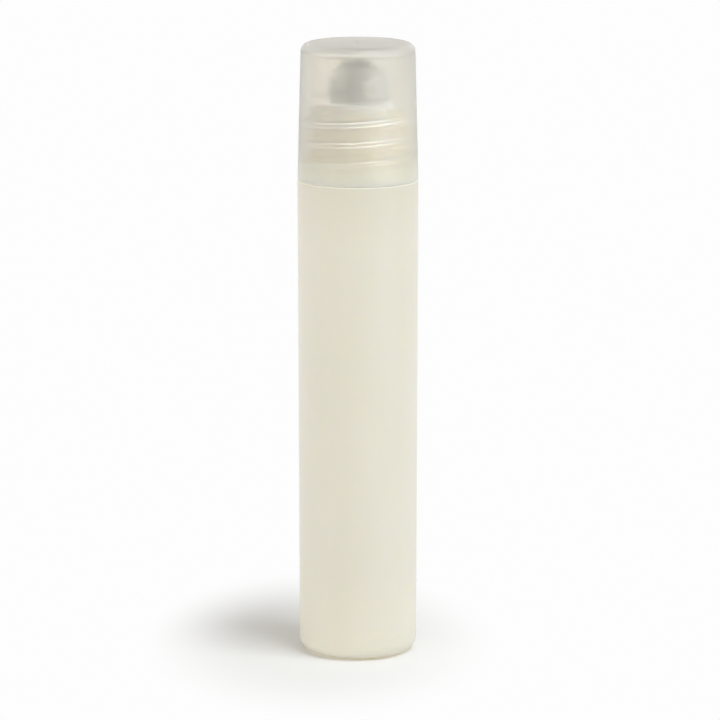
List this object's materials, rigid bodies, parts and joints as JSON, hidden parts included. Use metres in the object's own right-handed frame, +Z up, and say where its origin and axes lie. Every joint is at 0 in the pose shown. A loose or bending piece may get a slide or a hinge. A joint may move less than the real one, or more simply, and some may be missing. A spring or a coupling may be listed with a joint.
{
  "type": "roll-on bottle",
  "caption": "Slim cylindrical roll-on bottle in frosted natural plastic, with a steel applicator ball in a plug-in housing and a screw cap that comes off over it.",
  "frame": {"origin": "centre of the base on the surface that the bottle stands on", "axes": "+Z up the bottle's axis, towards the cap; -Y is the side that the picture shows, with +X to its right"},
  "size_m": [0.02, 0.02, 0.1026],
  "materials": {
    "bottle_plastic": "natural translucent plastic, frosted, slightly warm",
    "housing_plastic": "natural translucent plastic, smooth",
    "steel": "polished stainless steel",
    "foam": "fine closed-cell foam",
    "cap_plastic": "clearer translucent plastic, frosted outside"
  },
  "bodies": {
    "bottle": {"bottle": "bottle_plastic", "ball_housing": "housing_plastic"},
    "ball": {"roller_ball": "steel"},
    "pad": {"seal_pad": "foam"},
    "cap": {"cap": "cap_plastic"}
  },
  "joints": [
    {"name": "ball_roll", "type": "hinge", "parent": "bottle", "child": "ball", "pos_m": [0, 0, 0.0962], "axis": [1, 0, 0], "continuous": true},
    {"name": "cap_lift", "type": "slide", "parent": "bottle", "child": "pad", "axis": [0, 0, 1], "range_m": [0, 0.022]},
    {"name": "cap_turn", "type": "hinge", "parent": "pad", "child": "cap", "pos_m": [0, 0, 0.0914], "axis": [0, 0, 1], "range_deg": [0, 2400]}
  ],
  "couplings": [
    {"joint": "cap_lift", "follows": "cap_turn", "m_per_rad": 0.00052521}
  ]
}
